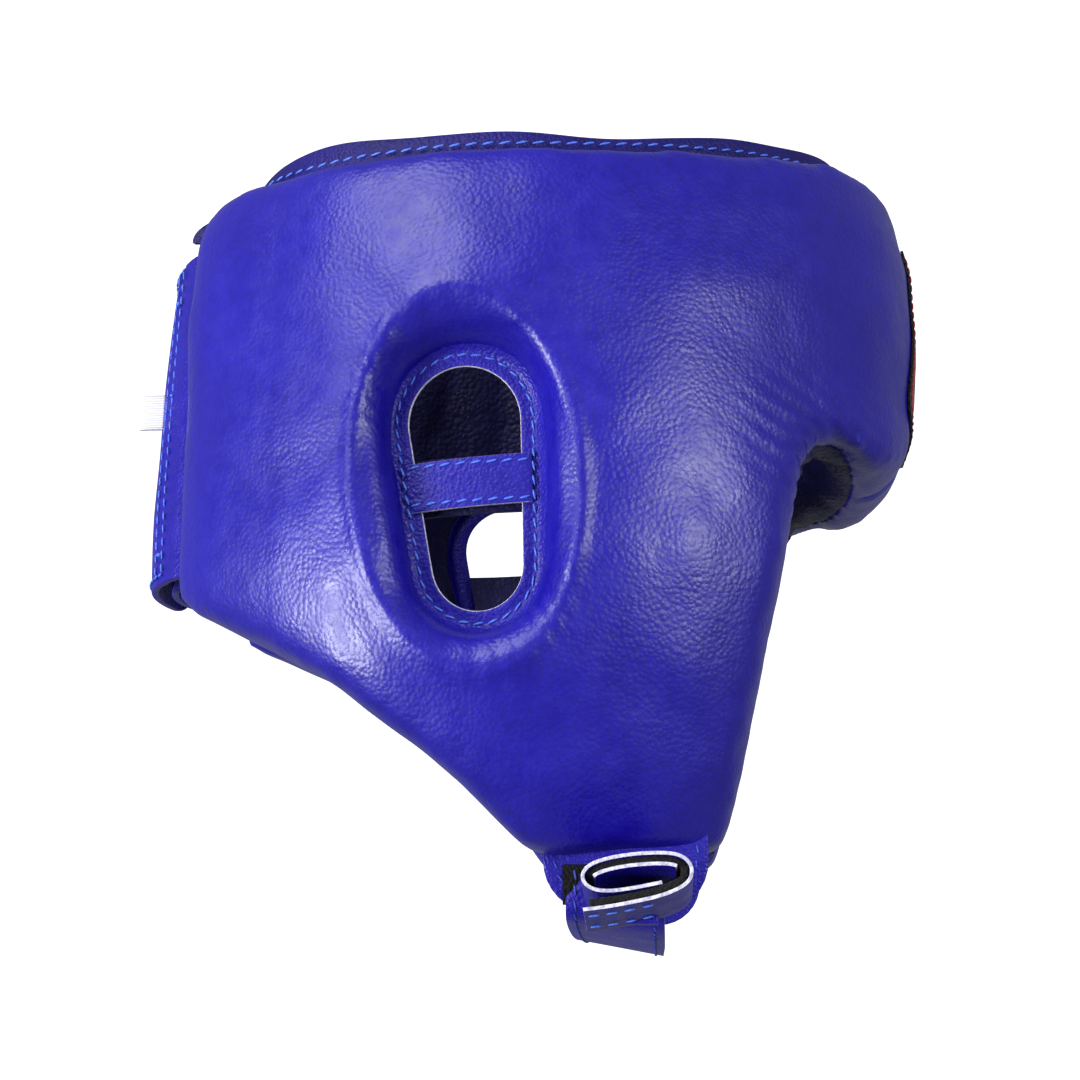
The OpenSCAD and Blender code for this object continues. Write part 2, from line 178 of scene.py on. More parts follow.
def stuffed_body(name, nodes, grow, voxel, rounds, most):
    """One closed body from copies of CAD solids, its edges rounded off by most at the most."""
    bm = bmesh.new()
    for n in nodes:
        part = bmesh.new()
        part.from_mesh(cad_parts[n].data)
        bmesh.ops.remove_doubles(part, verts=part.verts, dist=1e-6)
        part.normal_update()
        for v in part.verts:
            v.co += v.normal * grow
        solid = bpy.data.meshes.new("solid")
        part.to_mesh(solid)
        part.free()
        bm.from_mesh(solid)
        bpy.data.meshes.remove(solid)
    obj = built(name, bm)
    remesh = obj.modifiers.new("voxels", "REMESH")
    remesh.mode = "VOXEL"
    remesh.voxel_size = voxel
    finish_modifiers(obj)
    bm = bmesh.new()
    bm.from_mesh(obj.data)
    keep_largest(bm)
    square = BVHTree.FromBMesh(bm)
    for step in range(rounds + 2):
        bmesh.ops.smooth_vert(
            bm, verts=bm.verts, factor=0.5, use_axis_x=True, use_axis_y=True, use_axis_z=True
        )
        if step == rounds - 1:
            for v in bm.verts:
                back = square.find_nearest(v.co)[0] - v.co
                if back.length > most:
                    v.co += back * (1 - most / back.length)
    bm.to_mesh(obj.data)
    bm.free()
    return obj


def puff_out(obj, pressure, cap, held):
    """Blows the body up a little with Blender's cloth, held at its seams, moving at most cap."""
    start = coords(obj.data)
    group = obj.vertex_groups.new(name="seams")
    for weight, chosen in held:
        group.add([int(i) for i in chosen], weight, "REPLACE")
    cloth = obj.modifiers.new("cloth", "CLOTH")
    cloth.settings.vertex_group_mass = "seams"
    cloth.settings.quality = 5
    cloth.settings.mass = 0.3
    cloth.settings.tension_stiffness = 15
    cloth.settings.compression_stiffness = 15
    cloth.settings.bending_stiffness = 0.6
    cloth.settings.use_pressure = True
    cloth.settings.uniform_pressure_force = pressure
    cloth.settings.effector_weights.gravity = 0
    cloth.collision_settings.use_collision = False
    cloth.point_cache.frame_start = 1
    cloth.point_cache.frame_end = PUFF_FRAMES
    for f in range(1, PUFF_FRAMES + 1):
        bpy.context.scene.frame_set(f)
    shown = obj.evaluated_get(bpy.context.evaluated_depsgraph_get())
    moved = coords(shown.data) - start
    bpy.context.scene.frame_set(1)
    obj.modifiers.clear()
    obj.vertex_groups.clear()
    length = np.maximum(np.linalg.norm(moved, axis=1, keepdims=True), 1e-9)
    set_coords(obj.data, start + moved * np.minimum(1, cap / length))


core = stuffed_body("padding_core", SKIN_NODES + FOAM_NODES, 0.0007, 0.0035, 6, 0.0012)
at = coords(core.data)
core_depth = depth_below(at)
seam_line = np.abs(core_depth - 18.5) < 2.5
middle_seam = (np.abs(at[:, 1]) < 0.0025) & (core_depth < 12)
round_ear = (np.hypot(at[:, 0] / 0.026, at[:, 2] / 0.045) < 1) & (core_depth > 9)
pinned = np.flatnonzero(seam_line | middle_seam | round_ear)
puff_out(core, 4.0, 0.0030, [(1.0, pinned)])
smooth = core.modifiers.new("smooth", "SUBSURF")
smooth.levels = smooth.render_levels = 1
finish_modifiers(core)

# Leather pulled over foam is never even: it falls into the middle seam and the lining seam,
# stands up in a lip round the ear, and creases where it is turned over a tight edge.
SEAM_DEPTH = 18.5


def seam_value(co):
    """Depth, raised under the brow, where the lining is sewn further out."""
    brow = share(co[:, 0], 0.084, 0.094) * share(co[:, 2], 0.036, 0.026)
    brow = brow * share(co[:, 0], 0.117, 0.105)
    return depth_below(co) + 9.5 * brow * brow * (3 - 2 * brow)


at = coords(core.data)
out = normals(core.data)
depth = depth_below(at)
x, y, z = (at * 1000).T
skin = share(depth, 12, 6)
# Uneven foam: swellings some 45 mm apart, with smaller ones on them.
lift = 0.6 * np.array([noise.noise(Vector(p) * 22) for p in at])
lift += 0.5 * np.array([noise.noise(Vector(p) * 60 + Vector((7, 0, 0))) for p in at])
# The middle seam and the lining seam pull in.
lift -= 1.3 * ridge(y, 0, 2.2) * share(depth, 16, 12)
lift -= 0.8 * ridge(seam_value(at), SEAM_DEPTH, 2.2)
# The lip of the ear hollow stands up, and is creased above at the rear and below in front.
lean = math.radians(5.5)
ear_x = x * math.cos(lean) + z * math.sin(lean)
ear_z = z * math.cos(lean) - x * math.sin(lean)
ear_r = np.hypot(ear_x / 31, (ear_z - 1) / 51)
ear_turn = np.arctan2(ear_z, ear_x)
lift += 1.3 * ridge(ear_r, 1.03, 0.075) * skin
crease = np.sin(ear_turn * 46 + 3 * np.sin(ear_turn * 5))
where_creased = ridge(ear_turn, 2.2, 0.55) + ridge(ear_turn, -1.25, 0.5)
lift += 0.3 * crease * where_creased * ridge(ear_r, 0.98, 0.13) * skin
# Slanting folds beside the eye notch, and puckers along the sewn edges.
notch = ridge(x, 99, 16) * ridge(z, 14, 15)
lift += 0.55 * np.sin((x * 0.55 + z * 0.8) * 1.25 + 1.5 * np.sin(y * 0.2)) * notch
edge_run = np.where(z > 60, x, z)
at_edge = ridge(depth, 4, 4) * np.clip(1 - np.abs(out[:, 1]), 0, 1)
lift += 0.12 * np.sin(edge_run * 0.9 + 2.5 * np.sin(edge_run * 0.13)) * at_edge
at = at + out * (lift / 1000)[:, None]
# The left jaw is sewn a little shorter than the right one.
jaw = share(z, -12, -37) * share(z, -100, -75)
at[:, 2] += 0.006 * jaw * jaw * (3 - 2 * jaw) * (y > 0)
at[:, 2] -= 0.0015 * jaw * (y < 0)
# Stuffing fills the rear corners and the top of the forehead out to their seams.
crown, temple = share(z, 35, 85), share(x, 70, 115)
at[:, 0] -= (0.0028 + 0.0022 * crown) * share(x, -58, -80)
at[:, 2] += 0.0016 * share(x, -50, -75) * crown
at[:, 0] += (0.0003 + 0.0034 * crown * skin) * temple
set_coords(core.data, at)


def cut_along(mesh, value, level):
    """The mesh in triangles, some corners moved onto the line where value is level; the values."""
    bm = bmesh.new()
    bm.from_mesh(mesh)
    bmesh.ops.triangulate(bm, faces=bm.faces)
    bm.verts.ensure_lookup_table()
    value = list(value)
    moved = set()
    for e in bm.edges:
        a, b = e.verts
        va, vb = value[a.index] - level, value[b.index] - level
        if va * vb >= 0:
            continue
        t = va / (va - vb)
        place = a.co.lerp(b.co, t)
        near, other = (a, b) if t < 0.5 else (b, a)
        if near.index in moved and other.index not in moved:
            near = other
        if near.index not in moved:
            near.co = place
            moved.add(near.index)
            value[near.index] = level
    return bm, value



core_seam, core_value = cut_along(core.data, seam_value(coords(core.data)), SEAM_DEPTH)
core_tree = BVHTree.FromBMesh(core_seam)


def part_of_core(name, deeper, side):
    """The outer (not deeper) or head side (deeper) skin of one half of the core, as a mesh."""
    bm = core_seam.copy()
    drop = []
    for f in bm.faces:
        middle = sum(core_value[v.index] for v in f.verts) / 3
        if (middle > SEAM_DEPTH) != deeper:
            drop.append(f)
    bmesh.ops.delete(bm, geom=drop, context="FACES")
    bmesh.ops.bisect_plane(
        bm, geom=bm.verts[:] + bm.edges[:] + bm.faces[:], dist=1e-7, plane_co=(0, 0, 0),
        plane_no=(0, side, 0), clear_inner=True,
    )
    mesh = bpy.data.meshes.new(name)
    bm.to_mesh(mesh)
    bm.free()
    return mesh


def linear(hex_colour):
    """An sRGB hex colour as linear light."""
    channels = [int(hex_colour[i:i + 2], 16) / 255 for i in (1, 3, 5)]
    return [c / 12.92 if c <= 0.04045 else ((c + 0.055) / 1.055) ** 2.4 for c in channels] + [1]


def new_material(name):
    """An empty material, with its node tree, shader and output."""
    material = bpy.data.materials.new(name)
    material.use_nodes = True
    tree = material.node_tree
    tree.nodes.clear()
    shader = tree.nodes.new("ShaderNodeBsdfPrincipled")
    output = tree.nodes.new("ShaderNodeOutputMaterial")
    tree.links.new(shader.outputs[0], output.inputs["Surface"])
    return material, tree, shader


def add(tree, kind, settings=None, **inputs):
    """Adds a node: settings are its own, inputs are values or sockets to link."""
    node = tree.nodes.new("ShaderNode" + kind)
    for key, value in (settings or {}).items():
        setattr(node, key, value)
    for key, value in inputs.items():
        by_number = key[1:].isdigit()
        socket = node.inputs[int(key[1:]) if by_number else key.replace("_", " ")]
        if isinstance(value, bpy.types.NodeSocket):
            tree.links.new(value, socket)
        else:
            socket.default_value = value
    return node


def ramp(tree, factor, stops):
    """A colour ramp over factor, with stops of (position, hex colour)."""
    node = add(tree, "ValToRGB", i0=factor)
    points = node.color_ramp.elements
    while len(points) < len(stops):
        points.new(0.5)
    for point, (place, colour) in zip(points, stops):
        point.position = place
        point.color = linear(colour)
    return node.outputs[0]


def leather(name, dark, middle, light, grain=1.3, rough=(0.34, 0.5), relief=0.5, shine=0.35):
    """Pigmented, embossed leather: pebbles of grain mm, soft creases, painted shade in the furrows
    between pebbles, and an uneven gloss.
    """
    material, tree, shader = new_material(name)
    place = add(tree, "TexCoord").outputs["Object"]
    warp = add(tree, "TexNoise", i0=place, Scale=320.0, Detail=2.0)
    bent = add(tree, "VectorMath", {"operation": "MULTIPLY_ADD"}, i0=warp.outputs[1],
               i1=(0.0007, 0.0007, 0.0007), i2=place)
    pebbles = add(tree, "TexVoronoi", {"feature": "SMOOTH_F1"}, Vector=bent.outputs[0],
                  Scale=1000 / grain, Smoothness=0.35)
    furrows = add(tree, "TexVoronoi", {"feature": "DISTANCE_TO_EDGE"}, Vector=bent.outputs[0],
                  Scale=1000 / (grain * 2.3))
    broad = add(tree, "TexNoise", i0=place, Scale=28.0, Detail=3.0, Roughness=0.55)
    fine = add(tree, "TexNoise", i0=place, Scale=150.0, Detail=4.0, Roughness=0.6)
    tone = add(tree, "Math", {"operation": "MULTIPLY_ADD"}, i0=fine.outputs[0], i1=0.35,
               i2=add(tree, "Math", {"operation": "MULTIPLY"}, i0=broad.outputs[0],
                      i1=0.65).outputs[0])
    colour = ramp(tree, tone.outputs[0], [(0.36, dark), (0.5, middle), (0.66, light)])
    # The furrows between the pebbles are painted darker: painted shade in the grain's valleys,
    # multiplied into the colour.
    valley = add(tree, "MapRange", Value=furrows.outputs[0], From_Min=0.0, From_Max=0.09,
                 To_Min=0.72, To_Max=1.0)
    shade = add(tree, "Mix", {"data_type": "RGBA", "blend_type": "MULTIPLY"})
    shade.inputs[0].default_value = 0.7
    tree.links.new(colour, shade.inputs[6])
    tree.links.new(valley.outputs[0], shade.inputs[7])
    tree.links.new(shade.outputs[2], shader.inputs["Base Color"])
    gloss = add(tree, "MapRange", Value=fine.outputs[0], From_Min=0.3, From_Max=0.7,
                To_Min=rough[0], To_Max=rough[1])
    tree.links.new(gloss.outputs[0], shader.inputs["Roughness"])
    low = add(tree, "Bump", Strength=relief * 0.12, Distance=0.0012, Height=fine.outputs[0])
    mid = add(tree, "Bump", Strength=relief * 0.4, Distance=0.0003, Height=valley.outputs[0],
              Normal=low.outputs[0])
    top = add(tree, "Bump", {"invert": True}, Strength=relief * 1.5, Distance=0.00045,
              Height=pebbles.outputs[0], Normal=mid.outputs[0])
    tree.links.new(top.outputs[0], shader.inputs["Normal"])
    shader.inputs["IOR"].default_value = 1.5
    shader.inputs["Specular IOR Level"].default_value = shine
    return material


# Cowhide split with a royal blue pigment coat: half gloss, with an embossed pebble grain.
blue_leather = leather("embossed_blue_leather", "#0f0580", "#110788", "#150b90",
                       rough=(0.32, 0.44), relief=0.17, shine=0.45)
# Softer, thinner dark blue leather on the head side, more matt and more creased.
lining_leather = leather("dark_blue_lining_leather", "#0a0830", "#0d0b3a", "#121046",
                         grain=1.6, rough=(0.45, 0.62), relief=0.6, shine=0.2)


def fine_grained(name, texture, stops, relief, depth, rough, sunk=False, settings=None, **sizes):
    """A material with one fine pattern, which gives it both its colours and its relief."""
    material, tree, shader = new_material(name)
    place = add(tree, "TexCoord").outputs["Object"]
    pattern = add(tree, texture, settings, Vector=place, **sizes)
    tree.links.new(ramp(tree, pattern.outputs[0], stops), shader.inputs["Base Color"])
    bump = add(tree, "Bump", {"invert": sunk}, Strength=relief, Distance=depth,
               Height=pattern.outputs[0])
    tree.links.new(bump.outputs[0], shader.inputs["Normal"])
    shader.inputs["Roughness"].default_value = rough
    return material


def foam_material(name, dark, light):
    """Sliced closed-cell foam: dull, with cells of about 1 mm."""
    return fine_grained(name, "TexVoronoi", [(0.1, dark), (0.6, light)], 0.5, 0.0002, 0.85,
                        Scale=1000.0)


# EVA sheet foam, firm outside and softer inside.
firm_foam = foam_material("closed_cell_firm_foam", "#4b4b4e", "#5d5d61")
soft_foam = foam_material("open_cell_soft_foam", "#8d8b84", "#a5a39b")


def dress(obj, *materials):
    """Gives the object these materials in order and smooth faces."""
    obj.data.materials.clear()
    for m in materials:
        obj.data.materials.append(m)
    return smooth_faces(obj)


def thicken(obj, thickness):
    """Gives a surface its thickness in metres, behind its face."""
    wall = obj.modifiers.new("wall", "SOLIDIFY")
    wall.thickness = thickness
    return finish_modifiers(obj)


def stands_for(obj, body, node, slot):
    """The piece rides on a body and takes the place of a CAD node, which is hidden; slot is not
    used.
    """
    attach(obj, body)
    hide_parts(node)


for side_name, side in (("right", -1), ("left", 1)):
    # Outer leather, 1.4 mm, turned over the edges of the foam to the lining seam.
    cover = add_object("leather_cover_" + side_name, part_of_core("cover", False, side))
    thicken(cover, 0.0014)
    dress(cover, blue_leather)
    stands_for(cover, "shell", "cover_" + side_name, "outer_leather")
    # Lining leather, 1.2 mm, on the head side.
    lining = add_object("head_lining_" + side_name, part_of_core("lining", True, side))
    thicken(lining, 0.0012)
    dress(lining, lining_leather)
    stands_for(lining, "shell", "lining_" + side_name, "lining_leather")

# ---- Foam inside the leather ------------------------------------------------------------
# Firm foam sheet 10 mm thick under the outer leather and soft foam behind it, in blocks for
# the forehead, the sides and the cheeks. None of it shows: the leather closes over it.
FOAM_COVER = 0.0016


def kept_inside(block):
    """Presses every point of a foam block under the leather, which closes over it."""
    places = coords(block.data)
    for i, place in enumerate(places):
        spot, outward, _, _ = core_tree.find_nearest(Vector(place))
        if (Vector(place) - spot).dot(outward) > -FOAM_COVER:
            places[i] = spot - outward * FOAM_COVER
    set_coords(block.data, places)


for name, node, finish in (
    ("forehead_firm_foam", "forehead_foam_outer", firm_foam),
    ("forehead_soft_foam", "forehead_foam_inner", soft_foam),
    ("side_firm_foam_right", "side_foam_outer_right", firm_foam),
    ("side_firm_foam_left", "side_foam_outer_left", firm_foam),
    ("side_soft_foam_right", "side_foam_inner_right", soft_foam),
    ("side_soft_foam_left", "side_foam_inner_left", soft_foam),
    ("cheek_firm_foam_right", "cheek_foam_right", firm_foam),
    ("cheek_firm_foam_left", "cheek_foam_left", firm_foam),
):
    block = stuffed_body(name, [node], -0.001, 0.0035, 8, 0.02)
    kept_inside(block)
    dress(block, finish)
    stands_for(block, "shell", node, "soft_foam" if finish is soft_foam else "firm_foam")
bpy.data.objects.remove(core)

# ---- Ear ring and ear bar ---------------------------------------------------------------
# A flat oval of leather sewn into the bottom of the hollow over the ear. Two openings are
# cut in it, which leaves a bar across; the cut edges are raw and pale.
RING_DEPTH, RING_T = 15.5, 0.0014
TOP_R, LOW_R, HOLE_H = 16.0, 12.8, 70.0
BAR_TILT, BAR_LOW, BAR_HIGH, BAR_LIFT = math.radians(2.75), -7.3, 9.2, 1.2


def thread_material(name, dark, light):
    """Bonded nylon thread with a twist of about 0.5 mm and a soft sheen."""
    return fine_grained(name, "TexNoise", [(0.35, dark), (0.65, light)], 0.5, 0.0002, 0.55,
                        Scale=1800.0, Detail=2.0)


# The cut edge of chrome-tanned leather: pale grey-white core fibres, quite matt.
raw_edge = fine_grained("raw_cut_leather_edge", "TexNoise", [(0.35, "#8f8ea6"), (0.62, "#c4c3cf")],
                        0.6, 0.0003, 0.8, Scale=900.0, Detail=3.0)
thread = thread_material("light_blue_bonded_thread", "#2a50c4", "#4f78dc")
deep_thread = thread_material("royal_blue_bonded_thread", "#1c2f9c", "#2c45b8")
# Thinner, smoother strap leather from the same hide, used flat.
strap_leather = leather("smooth_blue_strap_leather", "#130a80", "#170e8a", "#1c1294",
                        grain=1.0, rough=(0.38, 0.52), relief=0.35, shine=0.3)


def ear_egg(grow, count):
    """Points round the ear opening, grown by so many mm: an egg with its small end down."""
    top_z, low_z = HOLE_H / 2 - TOP_R, LOW_R - HOLE_H / 2
    flank = math.asin((TOP_R - LOW_R) / (top_z - low_z))
    points = []
    for i in range(count // 2 + 1):
        a = -flank + (math.pi + 2 * flank) * i / (count // 2)
        points.append(((TOP_R + grow) * math.cos(a), top_z + (TOP_R + grow) * math.sin(a)))
    for i in range(count // 2 + 1):
        a = math.pi + flank + (math.pi - 2 * flank) * i / (count // 2)
        points.append(((LOW_R + grow) * math.cos(a), low_z + (LOW_R + grow) * math.sin(a)))
    points = even_steps(points + points[:1], count)[:-1]
    return [(px * math.cos(lean) - pz * math.sin(lean), px * math.sin(lean) + pz * math.cos(lean))
            for px, pz in points]


def even_steps(points, count):
    """The same line in count equal steps."""
    line = np.array(points, float)
    run = np.concatenate([[0], np.cumsum(np.linalg.norm(np.diff(line, axis=0), axis=1))])
    steps = np.linspace(0, run[-1], count + 1)
    return [tuple(p) for p in np.column_stack(
        [np.interp(steps, run, line[:, k]) for k in range(line.shape[1])])]


def on_form(px, pz, depth, side):
    """The place in metres at x, z mm on one side of the form at a depth."""
    return Vector((px, side * float(form_half(px, pz, depth)), pz)) / 1000


def cut_to(bm, outline, dist, drop_outside=True):
    """Cuts a flat grid along every side of a convex outline; gives its sides and its turn."""
    sides = [pair for pair in zip(outline, outline[1:] + outline[:1]) if math.dist(*pair) > 1e-6]
    turn = math.copysign(1, sum(a[0] * b[1] - b[0] * a[1] for a, b in sides))
    for a, b in sides:
        bmesh.ops.bisect_plane(bm, geom=bm.verts[:] + bm.edges[:] + bm.faces[:], dist=dist,
                               plane_co=(a[0], a[1], 0), clear_outer=drop_outside,
                               plane_no=Vector((b[1] - a[1], a[0] - b[0], 0)) * turn)
    return sides, turn


def flat_piece(name, outline, cell, place, thickness, finishes):
    """A piece cut to a convex outline, laid by place(u, v) in metres, and given its thickness."""
    us, vs = [p[0] for p in outline], [p[1] for p in outline]
    low, high = Vector((min(us), min(vs), 0)), Vector((max(us), max(vs), 0))
    size = high - low
    bm = bmesh.new()
    bmesh.ops.create_grid(bm, x_segments=max(2, int(size.x / cell)),
                          y_segments=max(2, int(size.y / cell)), size=0.5)
    for v in bm.verts:
        v.co = Vector((low.x + (v.co.x + 0.5) * size.x, low.y + (v.co.y + 0.5) * size.y, 0))
    cut_to(bm, outline, 1e-5)
    bmesh.ops.remove_doubles(bm, verts=bm.verts, dist=cell * 0.08)
    for v in bm.verts:
        v.co = place(v.co.x, v.co.y)
    return walls(built(name, bm), thickness, finishes, 0.0005)


def give_walls(obj, thickness, finishes, bevel, offset):
    """Gives a surface its thickness, softened corners and its finishes: face, then edge."""
    for m in finishes:
        obj.data.materials.append(m)
    wall = obj.modifiers.new("wall", "SOLIDIFY")
    wall.thickness = thickness
    wall.offset = offset
    wall.material_offset_rim = len(finishes) - 1
    if bevel:
        soften = obj.modifiers.new("soften", "BEVEL")
        soften.width = bevel
        soften.segments = 2
        soften.limit_method = "ANGLE"
        soften.angle_limit = math.radians(50)
    return smooth_faces(finish_modifiers(obj))


def walls(obj, thickness, finishes, bevel, offset=-1.0):
    """Gives a piece its walls after its faces are turned away from the middle of the head."""
    facing = sum(p.normal.dot(Vector((p.center.x, p.center.y, 0))) * p.area
                 for p in obj.data.polygons)
    if facing < 0:
        obj.data.flip_normals()
    return give_walls(obj, thickness, finishes, bevel, offset)


def stitches(name, body, rows, length=0.003, pitch=0.0041, radius=0.00038, yarn=None):
    """A row of stitches along each line of (place, outward) pairs, all as one piece."""
    bm = bmesh.new()
    for row in rows:
        places = np.array([p[0] for p in row])
        outs = np.array([p[1] for p in row])
        run = np.concatenate([[0], np.cumsum(np.linalg.norm(np.diff(places, axis=0), axis=1))])
        count = max(1, int(run[-1] / pitch))
        for i in range(count):
            s = (i + 0.5) * run[-1] / count
            ends = [Vector([np.interp(s + d, run, places[:, k]) for k in range(3)])
                    for d in (-length / 2, length / 2)]
            up = Vector([np.interp(s, run, outs[:, k]) for k in range(3)]).normalized()
            along = (ends[1] - ends[0])
            if along.length < length * 0.4:
                continue
            along.normalize()
            across = up.cross(along).normalized()
            along = (along + across * 0.2).normalized()
            across = up.cross(along).normalized()
            up = along.cross(across)
            made = bmesh.ops.create_uvsphere(bm, u_segments=6, v_segments=5, radius=1)["verts"]
            middle = (ends[0] + ends[1]) / 2 + up * radius * 0.35
            for v in made:
                q = v.co.copy()
                v.co = (middle + along * q.z * length * 0.52 + across * q.x * radius
                        + up * q.y * radius)
    bmesh.ops.recalc_face_normals(bm, faces=bm.faces)
    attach(dress(built(name, bm), yarn or thread), body)


def in_bar(px, pz):
    """True between the bar's lower and upper edge."""
    return BAR_LOW <= pz * math.cos(BAR_TILT) - px * math.sin(BAR_TILT) <= BAR_HIGH


def second(point):
    """A point's second value."""
    return point[1]


for side_name, side in (("right", -1), ("left", 1)):
    rings = [(ear_egg(grow, 96), RING_DEPTH - rise) for grow, rise in
             ((8.2, 5.2), (7.0, 3.4), (5.8, 1.8), (4.8, 0.7), (3.9, 0.1), (2.6, 0), (1.3, 0),
              (0, 0))]
    bm = bmesh.new()
    loops = []
    for ring, at_depth in rings:
        corners = [bm.verts.new(on_form(px, pz, at_depth, side)) for px, pz in ring]
        loops.append([bm.edges.new((a, b)) for a, b in zip(corners, corners[1:] + corners[:1])])
    for outer, inner in zip(loops, loops[1:]):
        bmesh.ops.bridge_loops(bm, edges=outer + inner)
    bmesh.ops.recalc_face_normals(bm, faces=bm.faces)
    bm.faces.ensure_lookup_table()
    if bm.faces[0].normal.y * side < 0:
        bmesh.ops.reverse_faces(bm, faces=bm.faces)
    ring = walls(built("sewn_ear_ring_" + side_name, bm), RING_T, (strap_leather, raw_edge),
                 0.0005)
    stands_for(ring, "shell", "ear_ring_" + side_name, "outer_leather")

    band = [p for p in ear_egg(3.1, 96) if in_bar(*p)]
    shape = sorted([p for p in band if p[0] > 0], key=second)
    shape += sorted([p for p in band if p[0] < 0], key=second, reverse=True)
    if side > 0:
        shape = [(-u, v) for u, v in shape][::-1]

    def on_ring(u, v):
        """The bar lies on the ring; its outline is mirrored on the left."""
        return on_form(-side * u, v, RING_DEPTH - BAR_LIFT, side)

    bar = flat_piece("sewn_ear_bar_" + side_name, shape, 1.5, on_ring, RING_T,
                     (strap_leather, raw_edge))
    stands_for(bar, "shell", "ear_bar_" + side_name, "outer_leather")
    dress(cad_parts["ear_bar_backing_" + side_name], lining_leather)

    # Stitches go round the opening, in a second row at its top, and along the bar's edges.
    loop = ear_egg(3.5, 120)
    lines = [[(px, pz, BAR_LIFT if in_bar(px, pz) else 0) for px, pz in loop + loop[:1]],
             sorted((px, pz, 0) for px, pz in ear_egg(4.7, 120) if pz > 27)]
    for level in (-4.4, 6.4):
        lines.append([(px * math.cos(BAR_TILT) - level * math.sin(BAR_TILT),
                       px * math.sin(BAR_TILT) + level * math.cos(BAR_TILT), BAR_LIFT)
                      for px in np.linspace(-17.5, 17.5, 30)])
    stitches("ear_stitches_" + side_name, "shell",
             [[(on_form(px, pz, RING_DEPTH - up, side), (0, side, 0)) for px, pz, up in line]
              for line in lines])

# ---- Crown collar -----------------------------------------------------------------------
# A thin strip of leather that stands up out of the crown opening, sewn to the rim of the
# padding all the way round. It is only held at its foot, so its top edge waves.
COLLAR_DEPTH, COLLAR_T, COLLAR_H, COLLAR_FOOT = 8.6, 0.0018, 0.0075, 0.004
COLLAR_STEP, STEPS_DOWN, MIDDLE_GAP = 0.0022, 12, 0.0002
CORNER_X, CORNER_Z = -0.0893, 0.0905
collar_leather = leather("dark_blue_collar_leather", "#100b4e", "#140f5c", "#1a1568",
                         grain=1.0, rough=(0.45, 0.6), relief=0.45, shine=0.2)


def rim_place(turn, depth_mm):
    """The place on top of the padding at an angle round the crown and a depth, in metres."""
    guess = 100.0
    for _ in range(3):
        ahead = math.cos(turn) > 0
        lookup = FRONT_IN if ahead else REAR_IN
        radius = (FRONT_R if ahead else REAR_R) - np.interp(guess, LEVEL_Z, lookup)
        radius -= depth_mm * (FRONT_SHARE if ahead else 1)
        half = HALF_W - np.interp(guess, LEVEL_Z, SIDE_IN) - depth_mm
        px, py = CENTRE_X + radius * math.cos(turn), half * math.sin(turn)
        hit = core_tree.ray_cast(Vector((px, py, 200)) / 1000, Vector((0, 0, -1)))
        if hit[0] is None or hit[0].z < 0.06:
            return None
        guess = hit[0].z * 1000
    return Vector((px, py, guess)) / 1000


def crown_run(side):
    """Places along one half of the crown rim, from the forehead to the rear end."""
    run = [rim_place(side * t, COLLAR_DEPTH - 1.2 * share(t, 1.7, 2.4))
           for t in np.linspace(0.0001, 2.75, 700)]
    run = [p for p in run if p is not None]
    length = sum((a - b).length for a, b in zip(run, run[1:]))
    run = np.array(even_steps(run, int(length / COLLAR_STEP)))
    for _ in range(12):
        run[1:-1, 2] = (run[:-2, 2] + 2 * run[1:-1, 2] + run[2:, 2]) / 4
    return [Vector(p) for p in run if p[1] * side > MIDDLE_GAP]


def sideways(p):
    """The level direction away from the head at a place on the rim."""
    return Vector((p.x / FRONT_R**2, p.y / HALF_W**2, 0)).normalized()


for side_name, side in (("right", -1), ("left", 1)):
    run = crown_run(side)
    ups = [Vector((0, 0, 1))] * len(run)
    last, rim_count = run[-1], len(run) - 1
    # Beyond the rim's rear end the collar turns down round the corner of the padding.
    for k in range(1, STEPS_DOWN + 1):
        sweep = math.radians(85) * k / STEPS_DOWN
        run.append(last + Vector(((CORNER_X - last.x) * math.sin(sweep), 0,
                                  (CORNER_Z - last.z) * (1 - math.cos(sweep)))))
        ups.append(Vector((-math.sin(sweep), 0, math.cos(sweep))))
    bm = bmesh.new()
    bmesh.ops.create_grid(bm, x_segments=len(run) - 1, y_segments=7, size=0.5)
    for v in bm.verts:
        i = round((v.co.x + 0.5) * (len(run) - 1))
        t = v.co.y + 0.5
        along = i * COLLAR_STEP * 1000
        wave = 0.0011 * (math.sin(along * 0.045 + side) + 0.5 * math.sin(along * 0.11 + 2 * side))
        height = COLLAR_H + 0.0009 * math.sin(along * 0.035 + 1) + 0.0004 * math.sin(along * 0.1)
        height -= 0.0025 * max(0, (i - rim_count) / STEPS_DOWN)
        v.co = (run[i] + ups[i] * (t * (COLLAR_FOOT + height) - COLLAR_FOOT)
                + sideways(run[i]) * t * (wave - 0.001 * t))
    bmesh.ops.recalc_face_normals(bm, faces=bm.faces)
    bm.faces.ensure_lookup_table()
    middle_face = bm.faces[len(bm.faces) // 2]
    centre = middle_face.calc_center_median()
    if middle_face.normal.dot(Vector((centre.x, centre.y, 0))) < 0:
        bmesh.ops.reverse_faces(bm, faces=bm.faces)
    collar = walls(built("wavy_crown_collar_" + side_name, bm), COLLAR_T, (collar_leather,),
                   0.0005)
    stands_for(collar, "shell", "crown_collar_" + side_name, "outer_leather")
    seam = [(p + sideways(p) * 0.0004 + up * 0.0034, sideways(p))
            for p, up in zip(run[:rim_count + 5], ups)]
    stitches("collar_stitches_" + side_name, "shell", [seam], length=0.0034, pitch=0.0048)

